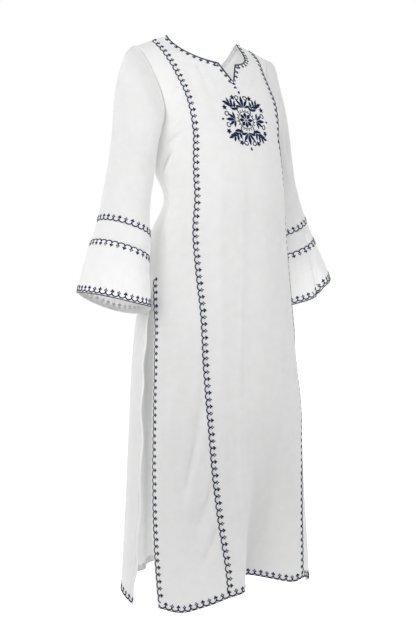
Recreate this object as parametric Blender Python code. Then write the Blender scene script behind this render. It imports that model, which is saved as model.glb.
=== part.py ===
"""A long woven kurti held open as if worn: princess-line front, side slits, bell sleeves.

Run with: blender --background --python part.py
Metres, +Z up. The wearer faces -Y, so the wearer's right is -X. The origin lies midway
between the two points where the shoulder seams meet the neck, which is where it hangs.
"""

import math

import bpy
import numpy as np

# Driving dimensions in metres
LENGTH_FRONT = 1.300           # shoulder neck point down to the hem at the centre front
CLOTH = 0.0020                 # wall thickness
SEAM_SETBACK = 0.0002          # how far each of two sewn pieces stops short of their seam
ARMHOLE_GAP = 0.0007           # clearance between the body and a sleeve head
UNDERARM_Z = -0.250            # height of the side seam's top
SLIT_TOP_Z = -0.590            # height where the side slits begin
NECK_HALF_WIDTH = 0.108        # neck point from the centre
FRONT_NECK_DROP = 0.071        # round neck, measured down from the neck points
FRONT_NECK_REACH = 0.098       # how far its lowest points lie in front of the neck points
FRONT_NECK_ROUNDNESS = 2.3
FRONT_NECK_BOW = 1.25
NOTCH_HALF_WIDTH = 0.025       # half the V notch at its top
NOTCH_BOTTOM = np.array((0.0, -0.121, -0.116))
BACK_NECK_DROP = 0.075         # scooped back neck
BACK_NECK_REACH = 0.060
BACK_NECK_ROUNDNESS = 2.9
BACK_NECK_BOW = 0.8
SHOULDER_TIP = np.array((0.2075, -0.0140, -0.0360))
NECK_POINT = np.array((NECK_HALF_WIDTH, 0.0, 0.0))
PRINCESS_ON_SHOULDER = 0.47    # share of the shoulder seam from neck to princess seam
SLEEVE_HEAD_RISE = 0.135       # how far the sleeve head stands out at the shoulder tip
UNDERARM_RISE = 0.035          # and at the underarm
SLEEVE_HEAD_DIP = 0.6          # how steeply its underside starts down, in sleeve head lengths
SLEEVE_HEAD_RUN = 1.1          # how straight it runs into the first ring

# Mesh resolution: cells across and along the pieces
CENTRE_CELLS = 28
SIDE_CELLS = 8
BACK_CELLS = 26
SKIRT_ROWS = 25
CHEST_ROWS = 10
SLEEVE_CELLS = 20
SLEEVE_HEAD_ROWS = 5
SLEEVE_ARM_ROWS = 5
BAND_ROWS = 2
CUFF_ROWS = 4

# Body sections from the underarm down. Depths are measured from the section's centre;
# power is the superellipse exponent; princess is the princess seam's angle from centre front
SECTION_COLUMNS = ("z", "half_width", "front", "back", "centre_y", "power", "princess")
SECTIONS = (
    (-1.360, 0.251, 0.2190, 0.1965, -0.050, 2.00, 26.5),
    (-1.274, 0.244, 0.2200, 0.2010, -0.050, 2.00, 28.5),
    (-1.150, 0.235, 0.2130, 0.1970, -0.050, 2.00, 33.0),
    (-1.010, 0.226, 0.2090, 0.1940, -0.050, 2.00, 37.5),
    (-0.920, 0.220, 0.2080, 0.1920, -0.050, 2.00, 40.0),
    (-0.790, 0.209, 0.1930, 0.1930, -0.050, 2.00, 42.5),
    (-0.662, 0.196, 0.1740, 0.1820, -0.055, 2.00, 45.0),
    (-0.567, 0.186, 0.1570, 0.1600, -0.060, 2.05, 49.0),
    (-0.475, 0.175, 0.1420, 0.1330, -0.066, 2.10, 53.0),
    (-0.400, 0.163, 0.1290, 0.0850, -0.080, 2.10, 56.0),
    (-0.333, 0.171, 0.1410, 0.1010, -0.056, 2.15, 51.0),
    (-0.250, 0.176, 0.1320, 0.1220, -0.040, 2.30, 44.0),
)

# Angle of the two edges of each side slit, from centre front, below the slit's top
EDGE_COLUMNS = ("z", "front", "back")
SLIT_EDGES = (
    (-1.345, 68.0, 89.0),
    (-1.290, 71.0, 87.0),
    (-1.170, 75.5, 86.0),
    (-1.000, 79.5, 87.0),
    (-0.840, 82.0, 90.5),
    (-0.760, 83.5, 91.5),
    (-0.680, 86.5, 92.0),
    (SLIT_TOP_Z, 92.0, 92.0),
)
SIDE_SEAM_TOP = 90.0           # angle of the side seam at the underarm
SIDE_SEAM_FOOT = 92.0          # and at the slit's top

# How far each part of the hem hangs below the centre front's hem
HEM_COLUMNS = ("angle", "drop")
HEM = (
    (0.0, 0.000),
    (27.0, 0.003),
    (40.0, 0.022),
    (52.0, 0.042),
    (68.0, 0.041),
    (90.0, 0.050),
    (120.0, 0.036),
    (150.0, 0.023),
    (180.0, 0.020),
)

# Hanging folds: centre angle at the hem, half width in degrees, depth inwards at the hem,
# height to which it reaches, how fast it fades on the way up and how square its floor is
FOLD_COLUMNS = ("angle", "half_angle", "depth", "reach", "fade", "square")
FOLDS = (
    (1.5, 15.0, 0.140, 0.62, 3.0, 4.0),
    (-47.0, 7.0, 0.010, 0.50, 1.4, 2.0),
    (49.0, 7.0, 0.012, 0.55, 1.4, 2.0),
    (112.0, 8.0, 0.016, 0.60, 1.3, 2.0),
    (143.0, 8.0, 0.026, 0.70, 1.2, 2.0),
    (176.0, 9.0, 0.022, 0.62, 1.3, 2.0),
    (208.0, 8.0, 0.028, 0.72, 1.2, 2.0),
    (240.0, 8.0, 0.014, 0.55, 1.3, 2.0),
)

# Princess seam from the underarm level to the shoulder seam, wearer's left
PRINCESS_COLUMNS = ("share", "x", "y", "z")
PRINCESS = (
    (0.17, 0.1320, -0.1335, -0.205),
    (0.34, 0.1355, -0.1200, -0.160),
    (0.52, 0.1385, -0.0930, -0.116),
    (0.68, 0.1420, -0.0680, -0.080),
    (0.84, 0.1495, -0.0400, -0.044),
)

# Centre line of the front from the underarm level to the notch
CENTRE_FRONT_COLUMNS = ("share", "y", "z")
CENTRE_FRONT = (
    (0.35, -0.1570, -0.203),
    (0.68, -0.1400, -0.160),
)

# Armhole edges of the front and the back, from the underarm to the shoulder tip
ARMHOLE_COLUMNS = ("share", "x", "y", "z")
ARMHOLE_FRONT = (
    (0.16, 0.1720, -0.0700, -0.228),
    (0.33, 0.1690, -0.0755, -0.190),
    (0.50, 0.1710, -0.0640, -0.150),
    (0.67, 0.1775, -0.0460, -0.108),
    (0.84, 0.1880, -0.0280, -0.066),
)
ARMHOLE_BACK = (
    (0.16, 0.1700, -0.0060, -0.232),
    (0.33, 0.1680, 0.0220, -0.198),
    (0.50, 0.1700, 0.0330, -0.155),
    (0.67, 0.1770, 0.0290, -0.112),
    (0.84, 0.1900, 0.0110, -0.068),
)

# Centre line of the back from the underarm level to the neck
CENTRE_BACK_COLUMNS = ("share", "y", "z")
CENTRE_BACK = (
    (0.33, 0.0900, -0.195),
    (0.67, 0.0820, -0.135),
)

# Middle heights of each sleeve's two seams and of its cuff's opening
SLEEVE_SEAM_COLUMNS = ("above_band", "below_band", "opening")
SLEEVE_SEAMS = {
    "right": (-0.4755, -0.5190, -0.6520),
    "left": (-0.4670, -0.5085, -0.6340),
}

# Sleeve rings from the underarm to the cuff. Each sleeve has its own centre line;
# its lift is how much higher a ring's outer side is, per metre of width
RING_COLUMNS = (
    "z", "right_x", "right_y", "right_lift", "left_x", "left_y", "left_lift", "radius_x", "radius_y")
RINGS = (
    (-0.6500, 0.2955, -0.044, 0.32, 0.2830, -0.043, 0.46, 0.080, 0.098),
    (-0.6000, 0.2925, -0.044, 0.35, 0.2790, -0.038, 0.47, 0.074, 0.092),
    (-0.5400, 0.2835, -0.043, 0.38, 0.2690, -0.030, 0.48, 0.064, 0.083),
    (-0.4880, 0.2690, -0.041, 0.40, 0.2560, -0.023, 0.48, 0.058, 0.075),
    (-0.4050, 0.2545, -0.037, 0.42, 0.2400, -0.012, 0.48, 0.050, 0.066),
    (-0.3300, 0.2380, -0.035, 0.42, 0.2320, 0.002, 0.46, 0.047, 0.067),
    (-0.2650, 0.2300, -0.038, 0.42, 0.2280, 0.010, 0.44, 0.045, 0.070),
)

LEFT = 1.0
RIGHT = -1.0

# Cloth colour
WHITE = (0.86, 0.86, 0.85, 1.0)


def columns(table, names):
    """The table as arrays by column name"""
    return dict(zip(names, np.array(table, dtype=float).T))


def along(knots, values, at):
    """Smooth curve through the values at rising knots, held flat past both ends"""
    at = np.clip(np.asarray(at, dtype=float), knots[0], knots[-1])
    slopes = np.gradient(values, knots)
    left = np.clip(np.searchsorted(knots, at, side="right") - 1, 0, len(knots) - 2)
    width = knots[left + 1] - knots[left]
    t = (at - knots[left]) / width
    rise = 3 * t ** 2 - 2 * t ** 3
    start_pull = t - 2 * t ** 2 + t ** 3
    end_pull = t ** 3 - t ** 2
    level = values[left] * (1 - rise) + values[left + 1] * rise
    return level + width * (slopes[left] * start_pull + slopes[left + 1] * end_pull)


def smooth_step(t):
    """Rises from 0 to 1 with flat ends"""
    return t * t * (3 - 2 * t)


SECTION = columns(SECTIONS, SECTION_COLUMNS)
EDGE = columns(SLIT_EDGES, EDGE_COLUMNS)
HEM_LINE = columns(HEM, HEM_COLUMNS)
FOLD_LIST = [dict(zip(FOLD_COLUMNS, fold)) for fold in FOLDS]
RING = columns(RINGS, RING_COLUMNS)


def section(name, z):
    """One measure of the body's section at a height"""
    return along(SECTION["z"], SECTION[name], z)


def hem_z(angle):
    """Height of the hem at an angle round the body"""
    turned = np.abs((np.asarray(angle, dtype=float) + 180) % 360 - 180)
    return -LENGTH_FRONT - along(HEM_LINE["angle"], HEM_LINE["drop"], turned)


SIDE_HEM_Z = float(hem_z(75.0))


def skirt_point(angle, share):
    """Point of the cloth at an angle in degrees; share runs from the hem to the underarm"""
    bottom = hem_z(angle)
    z = bottom + (UNDERARM_Z - bottom) * share
    turn = np.radians(angle)
    power = 2 / section("power", z)
    across = np.sign(np.sin(turn)) * np.abs(np.sin(turn)) ** power
    ahead = np.sign(np.cos(turn)) * np.abs(np.cos(turn)) ** power
    depth = np.where(ahead > 0, section("front", z), section("back", z))
    width = section("half_width", z)
    inward = np.zeros_like(z)
    for fold in FOLD_LIST:
        low = np.clip(1 - (z - bottom) / fold["reach"], 0, 1) ** fold["fade"]
        away = np.abs((angle - fold["angle"] + 180) % 360 - 180) / fold["half_angle"]
        inward = inward + fold["depth"] * low * np.exp(-away ** fold["square"])
    facing = np.array((np.sin(turn) / width, -np.cos(turn) / depth))
    facing = facing / np.linalg.norm(facing, axis=0)
    x = width * across - inward * facing[0]
    y = section("centre_y", z) - depth * ahead - inward * facing[1]
    return np.stack((x, y, z), axis=-1)


def even(points, cells):
    """The same line through points that lie evenly along its length"""
    steps = np.linalg.norm(np.diff(points, axis=0), axis=1)
    length = np.concatenate(((0,), np.cumsum(steps)))
    wanted = np.linspace(0, length[-1], cells + 1)
    return np.stack([np.interp(wanted, length, points[:, i]) for i in range(3)], axis=1)


def skirt_row(share, first, last, cells):
    """One level of a panel, between two edge angles"""
    angles = np.linspace(first, last, cells * 12 + 1)
    return even(skirt_point(angles, share), cells)


def edge_angle(name, share):
    """Angle of a panel's edge at a level; name is princess, front or back"""
    nominal = SIDE_HEM_Z + (UNDERARM_Z - SIDE_HEM_Z) * share
    if name == "princess":
        return float(section("princess", nominal))
    if nominal < SLIT_TOP_Z:
        return float(along(EDGE["z"], EDGE[name], nominal))
    down = (UNDERARM_Z - nominal) / (UNDERARM_Z - SLIT_TOP_Z)
    return SIDE_SEAM_TOP + (SIDE_SEAM_FOOT - SIDE_SEAM_TOP) * down


def edge_curve(table, names, start, end):
    """Curve through a table's points between two end points, as a function of its share"""
    data = columns(table, names)
    share = np.concatenate(((0,), data["share"], (1,)))
    x = np.concatenate(((start[0],), data.get("x", np.zeros(len(table))), (end[0],)))
    y = np.concatenate(((start[1],), data["y"], (end[1],)))
    z = np.concatenate(((start[2],), data["z"], (end[2],)))
    return lambda at: np.stack([along(share, values, at) for values in (x, y, z)], axis=-1)


def shoulder_seam(share):
    """Point of the shoulder seam, from the neck to the shoulder tip, wearer's left"""
    return NECK_POINT + (SHOULDER_TIP - NECK_POINT) * np.asarray(share)[..., None]


def front_neck(share):
    """Front neck edge from the notch's corner to the neck point, wearer's left"""
    power = 2 / FRONT_NECK_ROUNDNESS
    start = math.asin((NOTCH_HALF_WIDTH / NECK_HALF_WIDTH) ** (1 / power))
    turn = start + (math.pi / 2 - start) * np.asarray(share)
    x = NECK_HALF_WIDTH * np.sin(turn) ** power
    drop = np.clip(np.cos(turn), 0, 1) ** power
    y = -FRONT_NECK_REACH * drop ** FRONT_NECK_BOW
    return np.stack((x, y, -FRONT_NECK_DROP * drop), axis=-1)


def back_neck(share):
    """Back neck edge from the centre back to the neck point, wearer's left"""
    power = 2 / BACK_NECK_ROUNDNESS
    turn = math.pi / 2 * np.asarray(share)
    x = NECK_HALF_WIDTH * np.sin(turn) ** power
    drop = np.clip(np.cos(turn), 0, 1) ** power
    y = BACK_NECK_REACH * drop ** BACK_NECK_BOW
    return np.stack((x, y, -BACK_NECK_DROP * drop), axis=-1)


NOTCH_ROW = 4      # chest row at the notch's bottom
CORNER_ROW = 6     # chest row at the notch's corner
BACK_NECK_ROW = 6  # chest row at the bottom of the back neck

centre_front = edge_curve(CENTRE_FRONT, CENTRE_FRONT_COLUMNS, skirt_point(0.0, 1.0), NOTCH_BOTTOM)
centre_back = edge_curve(CENTRE_BACK, CENTRE_BACK_COLUMNS, skirt_point(180.0, 1.0), back_neck(0.0))
princess_seam = edge_curve(
    PRINCESS, PRINCESS_COLUMNS,
    skirt_point(edge_angle("princess", 1.0), 1.0), shoulder_seam(PRINCESS_ON_SHOULDER))
armhole_front = edge_curve(ARMHOLE_FRONT, ARMHOLE_COLUMNS, skirt_point(90.0, 1.0), SHOULDER_TIP)
armhole_back = edge_curve(ARMHOLE_BACK, ARMHOLE_COLUMNS, skirt_point(90.0, 1.0), SHOULDER_TIP)


def front_opening(row):
    """Inner edge of the chest's half panel at a row: centre front, notch, then neck"""
    if row <= NOTCH_ROW:
        return centre_front(row / NOTCH_ROW)
    if row <= CORNER_ROW:
        share = (row - NOTCH_ROW) / (CORNER_ROW - NOTCH_ROW)
        return NOTCH_BOTTOM + (front_neck(0.0) - NOTCH_BOTTOM) * share
    return front_neck((row - CORNER_ROW) / (CHEST_ROWS - CORNER_ROW))


def back_opening(row):
    """Inner edge of the back's half panel at a row: centre back, then neck"""
    if row <= BACK_NECK_ROW:
        return centre_back(row / BACK_NECK_ROW)
    return back_neck((row - BACK_NECK_ROW) / (CHEST_ROWS - BACK_NECK_ROW))


def chest_row(row, inner, outer, base, cells):
    """A row between two edges that keeps the base row's roundness low on the chest"""
    share = np.linspace(0, 1, cells + 1)[:, None]
    straight_base = base[0] + (base[-1] - base[0]) * share
    fullness = 1 - smooth_step(row / CHEST_ROWS)
    return inner + (outer - inner) * share + fullness * (base - straight_base)


def mirrored(points):
    """The same points on the other side of the body"""
    return points * np.array((-1.0, 1.0, 1.0))


def chest_half_rows(opening, seam, base, cells):
    """Rows of a half panel above the underarm, from its inner edge to its outer seam"""
    rows = [base]
    for row in range(1, CHEST_ROWS + 1):
        rows.append(chest_row(row, opening(row), seam(row / CHEST_ROWS), base, cells))
    return np.array(rows)


def both_halves(half):
    """Full rows from rows of the wearer's left half"""
    return np.concatenate((mirrored(half)[:, :0:-1], half), axis=1)


def front_centre_grids():
    """The centre panel: skirt and lower chest in one grid, then a grid each side of the notch"""
    skirt = []
    for level in range(SKIRT_ROWS + 1):
        share = level / SKIRT_ROWS
        seam = edge_angle("princess", share)
        skirt.append(skirt_row(share, -seam, seam, CENTRE_CELLS))
    cells = CENTRE_CELLS // 2
    base = skirt_row(1.0, 0.0, edge_angle("princess", 1.0), cells)
    half = chest_half_rows(front_opening, princess_seam, base, cells)
    whole = np.concatenate((skirt[:-1], both_halves(half[:NOTCH_ROW + 1])), axis=0)
    left = half[NOTCH_ROW:]
    return [whole, left, mirrored(left)[:, ::-1]]


def front_side_grid():
    """The side panel from hem to shoulder, princess seam to side, wearer's left"""
    skirt = []
    for level in range(SKIRT_ROWS + 1):
        share = level / SKIRT_ROWS
        first, last = edge_angle("princess", share), edge_angle("front", share)
        skirt.append(skirt_row(share, first, last, SIDE_CELLS))
    chest = []
    for row in range(1, CHEST_ROWS + 1):
        share = row / CHEST_ROWS
        edges = princess_seam(share), armhole_front(share)
        chest.append(chest_row(row, *edges, skirt[-1], SIDE_CELLS))
    return np.array(skirt + chest)


def front_side_right_grid():
    """The right side panel; its skirt rows carry the folds of their own side"""
    left = front_side_grid()
    rows = mirrored(left)[:, ::-1]
    for level in range(SKIRT_ROWS + 1):
        share = level / SKIRT_ROWS
        first, last = -edge_angle("front", share), -edge_angle("princess", share)
        rows[level] = skirt_row(share, first, last, SIDE_CELLS)
    return rows


def back_grids():
    """The back: one grid up to the neck's bottom, then a grid each side of the neck"""
    skirt = []
    for level in range(SKIRT_ROWS + 1):
        share = level / SKIRT_ROWS
        side = edge_angle("back", share)
        skirt.append(skirt_row(share, side, 360 - side, BACK_CELLS))
    cells = BACK_CELLS // 2
    base = skirt_row(1.0, 180.0, 90.0, cells)
    half = chest_half_rows(back_opening, armhole_back, base, cells)
    upper = both_halves(half[:BACK_NECK_ROW + 1])[:, ::-1]
    whole = np.concatenate((skirt[:-1], upper), axis=0)
    left = half[BACK_NECK_ROW:, ::-1]
    return [whole, left, mirrored(left)[:, ::-1]]


def ring_point(side, turn, z):
    """Point of a sleeve ring; turn is 0 outside, 90 degrees in front, 180 at the body"""
    name = "left" if side == LEFT else "right"
    x = along(RING["z"], RING[name + "_x"], z)
    y = along(RING["z"], RING[name + "_y"], z)
    wide = along(RING["z"], RING["radius_x"], z) * math.cos(turn)
    deep = along(RING["z"], RING["radius_y"], z) * math.sin(turn)
    height = z + wide * along(RING["z"], RING[name + "_lift"], z)
    return np.array((side * (x + wide), y - deep, height))


def armhole_point(side, turn):
    """Point of the armhole at a turn round the sleeve, pushed out by the seam's clearance"""
    share = 1 - turn / math.pi if turn <= math.pi else turn / math.pi - 1
    point = armhole_front(share) if turn <= math.pi else armhole_back(share)
    return (point + np.array((ARMHOLE_GAP, 0, 0))) * np.array((side, 1, 1))


def sleeve_head_point(side, turn, share):
    """Point of the sleeve head, which bends from the armhole down into the first ring"""
    top_z = RING["z"][-1]
    start, end = armhole_point(side, turn), ring_point(side, turn, top_z)
    reach = np.linalg.norm(end - start)
    outward = 0.5 + 0.5 * math.cos(turn)
    rise_out = UNDERARM_RISE + (SLEEVE_HEAD_RISE - UNDERARM_RISE) * outward
    start_pull = np.array((side * rise_out, 0, -SLEEVE_HEAD_DIP * reach * (1 - outward)))
    small = 0.01
    end_pull = (ring_point(side, turn, top_z - small) - end) * (SLEEVE_HEAD_RUN * reach / small)
    rise = smooth_step(share)
    point = start * (1 - rise) + end * rise
    point = point + start_pull * (share - 2 * share ** 2 + share ** 3)
    return point + end_pull * (share ** 3 - share ** 2)


def sleeve_grid(side, piece):
    """Closed rings of one sleeve piece from its top down"""
    seams = dict(zip(SLEEVE_SEAM_COLUMNS, SLEEVE_SEAMS["left" if side == LEFT else "right"]))
    stations = {
        "upper": (RING["z"][-1], seams["above_band"], SLEEVE_ARM_ROWS),
        "band": (seams["above_band"], seams["below_band"], BAND_ROWS),
        "cuff": (seams["below_band"], seams["opening"], CUFF_ROWS),
    }
    first, last, cells = stations[piece]
    turns = np.linspace(0, 2 * math.pi, SLEEVE_CELLS + 1)
    turns[-1] = 0.0
    rows = []
    if piece == "upper":
        for row in range(SLEEVE_HEAD_ROWS):
            share = row / SLEEVE_HEAD_ROWS
            rows.append([sleeve_head_point(side, turn, share) for turn in turns])
    for z in np.linspace(first, last, cells + 1):
        rows.append([ring_point(side, turn, z) for turn in turns])
    grid = np.array(rows)
    return grid if side == LEFT else grid[:, ::-1]


def key(point):
    """A point's place to a hundredth of a millimetre, to find coinciding points"""
    return tuple(np.round(np.asarray(point) * 1e5).astype(int))


def weld(grids):
    """Points and four-sided faces of grids that share their coinciding points"""
    points, faces, found = [], [], {}
    for grid in grids:
        number = np.empty(grid.shape[:2], dtype=int)
        for place in np.ndindex(*number.shape):
            name = key(grid[place])
            if name not in found:
                found[name] = len(points)
                points.append(grid[place])
            number[place] = found[name]
        for row in range(number.shape[0] - 1):
            for cell in range(number.shape[1] - 1):
                a, b = number[row, cell], number[row, cell + 1]
                c, d = number[row + 1, cell + 1], number[row + 1, cell]
                faces.append((a, b, c, d))
    return np.array(points), faces


def face_normal(points, face):
    """Normal of a four-sided face, as long as twice its area"""
    a, b, c, d = (points[corner] for corner in face)
    return np.cross(c - a, d - b)


def seam_normals(pieces):
    """Normals by place over all pieces, so that two pieces agree where they are sewn"""
    total, owners = {}, {}
    for name, (points, faces) in pieces.items():
        for face in faces:
            normal = face_normal(points, face)
            for corner in face:
                place = key(points[corner])
                total[place] = total.get(place, 0) + normal
                owners.setdefault(place, set()).add(name)
    normals = {place: normal / np.linalg.norm(normal) for place, normal in total.items()}
    return normals, owners


def on_shoulder_seam(point):
    """True where a point lies on a shoulder seam"""
    run = SHOULDER_TIP - NECK_POINT
    away = np.array((abs(point[0]), point[1], point[2])) - NECK_POINT
    share = np.dot(away, run) / np.dot(run, run)
    return -0.001 < share < 1.001 and np.linalg.norm(away - run * share) < 1e-5


def shoulder_normal(point):
    """Straight up from the shoulder seam"""
    run = SHOULDER_TIP - NECK_POINT
    up = np.array((-run[2], 0, run[0]))
    return up / np.linalg.norm(up) * np.array((math.copysign(1, point[0]), 1, 1))


def wall(points, faces, normals, owners):
    """Closed wall of cloth: the outer sheet, an inner sheet and the edges between them"""
    inward = {}
    for face in faces:
        middle = points[list(face)].mean(axis=0)
        for corner in face:
            inward[corner] = inward.get(corner, 0) + middle - points[corner]
    outer, inner = [], []
    for number, point in enumerate(points):
        shoulder = on_shoulder_seam(point)
        normal = shoulder_normal(point) if shoulder else normals[key(point)]
        moved = point
        if shoulder or len(owners[key(point)]) > 1:
            step = inward[number] - normal * np.dot(inward[number], normal)
            moved = point + step / np.linalg.norm(step) * SEAM_SETBACK
        outer.append(moved)
        inner.append(moved - normal * CLOTH)
    count = len(points)
    edges = {}
    for face in faces:
        for start, end in zip(face, face[1:] + face[:1]):
            edges[(start, end)] = edges.get((start, end), 0) + 1
    solid = list(faces) + [tuple(corner + count for corner in face[::-1]) for face in faces]
    for start, end in edges:
        if (end, start) not in edges:
            solid.append((end, start, start + count, end + count))
    return outer + inner, solid


def cloth_material(name):
    """Matt white woven cloth"""
    material = bpy.data.materials.new(name)
    material.use_nodes = True
    shader = material.node_tree.nodes["Principled BSDF"]
    shader.inputs["Base Color"].default_value = WHITE
    shader.inputs["Roughness"].default_value = 0.75
    shader.inputs["Metallic"].default_value = 0.0
    return material


def cloth_object(name, points, faces):
    """One cut piece as an object with its own material"""
    mesh = bpy.data.meshes.new(name)
    mesh.from_pydata([tuple(point) for point in points], [], faces)
    mesh.update()
    mesh.shade_smooth()
    mesh.set_sharp_from_angle(angle=math.radians(60))
    mesh.materials.append(cloth_material(name))
    piece = bpy.data.objects.new(name, mesh)
    bpy.context.scene.collection.objects.link(piece)
    return piece


def cut_pieces():
    """Every cut piece's sheet by its name"""
    grids = {
        "front_centre": front_centre_grids(),
        "front_side_right": [front_side_right_grid()],
        "front_side_left": [front_side_grid()],
        "back": back_grids(),
    }
    for word, side in (("right", RIGHT), ("left", LEFT)):
        for piece in ("upper", "band", "cuff"):
            grids[f"sleeve_{piece}_{word}"] = [sleeve_grid(side, piece)]
    return {name: weld(parts) for name, parts in grids.items()}


for item in list(bpy.data.objects):
    bpy.data.objects.remove(item, do_unlink=True)

pieces = cut_pieces()
normals, owners = seam_normals(pieces)
for name, (points, faces) in pieces.items():
    cloth_object(name, *wall(points, faces, normals, owners))
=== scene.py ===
import math

import bpy
import numpy as np
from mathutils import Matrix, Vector
from mathutils.bvhtree import BVHTree
from mathutils.kdtree import KDTree


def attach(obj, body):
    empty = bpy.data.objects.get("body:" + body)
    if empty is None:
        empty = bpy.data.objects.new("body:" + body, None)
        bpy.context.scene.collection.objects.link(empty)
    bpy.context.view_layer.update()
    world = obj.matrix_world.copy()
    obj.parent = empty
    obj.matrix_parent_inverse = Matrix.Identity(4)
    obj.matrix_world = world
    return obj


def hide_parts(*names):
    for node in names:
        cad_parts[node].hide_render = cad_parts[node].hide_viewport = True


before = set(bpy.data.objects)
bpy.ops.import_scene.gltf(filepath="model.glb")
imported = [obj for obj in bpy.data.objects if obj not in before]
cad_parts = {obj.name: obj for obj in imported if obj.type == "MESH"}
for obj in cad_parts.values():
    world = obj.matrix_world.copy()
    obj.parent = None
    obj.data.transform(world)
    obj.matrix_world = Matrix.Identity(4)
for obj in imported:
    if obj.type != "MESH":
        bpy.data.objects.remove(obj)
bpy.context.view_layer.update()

bpy.ops.object.select_all(action="DESELECT")

# The front's centre panel is one piece of light white woven cloth, cut on the fold. It runs from
# the round neck and its V notch down to the hem, between the two princess seams, and its lower
# part falls in one deep fold. It is a thin sheet through sections of the body, sewn at its edges.
MM = 1000.0                # millimetres in a metre: tables are in millimetres and degrees
UNDERARM_Z = -0.250
SLIT_TOP_Z = -0.590
LENGTH_FRONT = 1.300
SECTION_COLUMNS = ("z", "half_width", "front", "back", "centre_y", "power", "princess")
SECTIONS = (
    (-1360, 251, 219, 196.5, -50, 2.00, 26.5),
    (-1274, 244, 220, 201, -50, 2.00, 28.5),
    (-1150, 235, 213, 197, -50, 2.00, 33.0),
    (-1010, 226, 209, 194, -50, 2.00, 37.5),
    (-920, 220, 208, 192, -50, 2.00, 40.0),
    (-790, 209, 193, 193, -50, 2.00, 42.5),
    (-662, 196, 174, 182, -55, 2.00, 45.0),
    (-567, 186, 157, 160, -60, 2.05, 49.0),
    (-475, 175, 142, 133, -66, 2.10, 53.0),
    (-400, 163, 129, 85, -80, 2.10, 56.0),
    (-333, 171, 141, 101, -56, 2.15, 51.0),
    (-250, 176, 132, 122, -40, 2.30, 44.0),
)
EDGE_COLUMNS = ("z", "front", "back")
SLIT_EDGES = (
    (-1345, 68.0, 89.0), (-1290, 71.0, 87.0), (-1170, 75.5, 86.0), (-1000, 79.5, 87.0),
    (-840, 82.0, 90.5), (-760, 83.5, 91.5), (-680, 86.5, 92.0), (SLIT_TOP_Z * MM, 92.0, 92.0),
)
SIDE_SEAM_TOP = 90.0
SIDE_SEAM_FOOT = 92.0
HEM_COLUMNS = ("angle", "drop")
HEM = ((0, 0), (27, 3), (40, 22), (52, 42), (68, 41), (90, 50), (120, 36), (150, 23), (180, 20))
# How far the worn hem hangs below its cut, or above it where negative, by signed angle
HEM_SAG = (
    (-140, 0), (-126, -6), (-114, -12), (-104, -13), (-96, -9), (-89, -3), (-82, 0), (-65, 0),
    (-55, 3), (-45, 9), (-30, 10), (-20, 8), (-10, 5), (0, 4), (8, 7), (12.5, 6), (16, 8.5),
    (19.5, 11.5), (25, 4), (31, 0), (45, 0), (56, -4), (66, -6), (80, 0),
)
# Each fold: angle, half angle, depth, reach up from the hem, fade upwards, squareness
FOLDS = (
    (1.5, 15, 140, 620, 3.0, 4), (-47, 7, 10, 500, 1.4, 2), (49, 7, 12, 550, 1.4, 2),
    (112, 8, 16, 600, 1.3, 2), (143, 8, 26, 700, 1.2, 2), (176, 9, 22, 620, 1.3, 2),
    (208, 8, 28, 720, 1.2, 2), (240, 8, 7, 550, 1.3, 2),
)
NECK_HALF_WIDTH = 0.108
NOTCH_HALF_WIDTH = 0.025
NOTCH_BOTTOM = np.array((0.0, -0.121, -0.116))
FRONT_NECK = {"beside": NOTCH_HALF_WIDTH, "drop": 0.071, "reach": -0.098, "roundness": 2.3, "bow": 1.25}
SHOULDER_TIP = np.array((0.2075, -0.0140, -0.0360))
NECK_POINT = np.array((NECK_HALF_WIDTH, 0.0, 0.0))
PRINCESS_ON_SHOULDER = 0.47
# Points of an edge: its share, x, y, z
PRINCESS = (
    (0.17, 132, -133.5, -205), (0.34, 135.5, -120, -160), (0.52, 138.5, -93, -116),
    (0.68, 142, -68, -80), (0.84, 149.5, -40, -44),
)
CENTRE_FRONT = ((0.35, 0, -157, -203), (0.68, 0, -140, -160))
CENTRE_CELLS = 76          # cells across the panel between its two dense edges
SKIRT_ROWS = 120
CHEST_ROWS = 60
NOTCH_ROW = 24
CORNER_ROW = 36
TRIED_PER_CELL = 8
EDGE_STEPS = np.array((0, 1.5, 3.5, 6.5, 10.5)) / MM
HEM_STEPS = np.array((0, 1.5, 6, 11.5, 13)) / MM
CLOTH = 0.0009             # one layer of cloth
TURNED = 0.0019            # cloth folded over and sewn at a free edge
TURNED_DEPTH = 0.0120
SEAM_DIP = 0.0009
SEAM_SPREAD = 0.0030
SEAM_HOLD = 0.0160         # creases fade out this near a seam
CREASE_FADE = 0.35         # share of a crease's end over which it fades
CREASE_END = 0.15          # what is left of its depth there
SHARP_EDGE = math.radians(55)
CLOTH_SHADE = 0.955        # the cloth's darkest tone against its colour
WELD = 1e5                 # points are one if they agree to a hundredth of a millimetre
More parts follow.
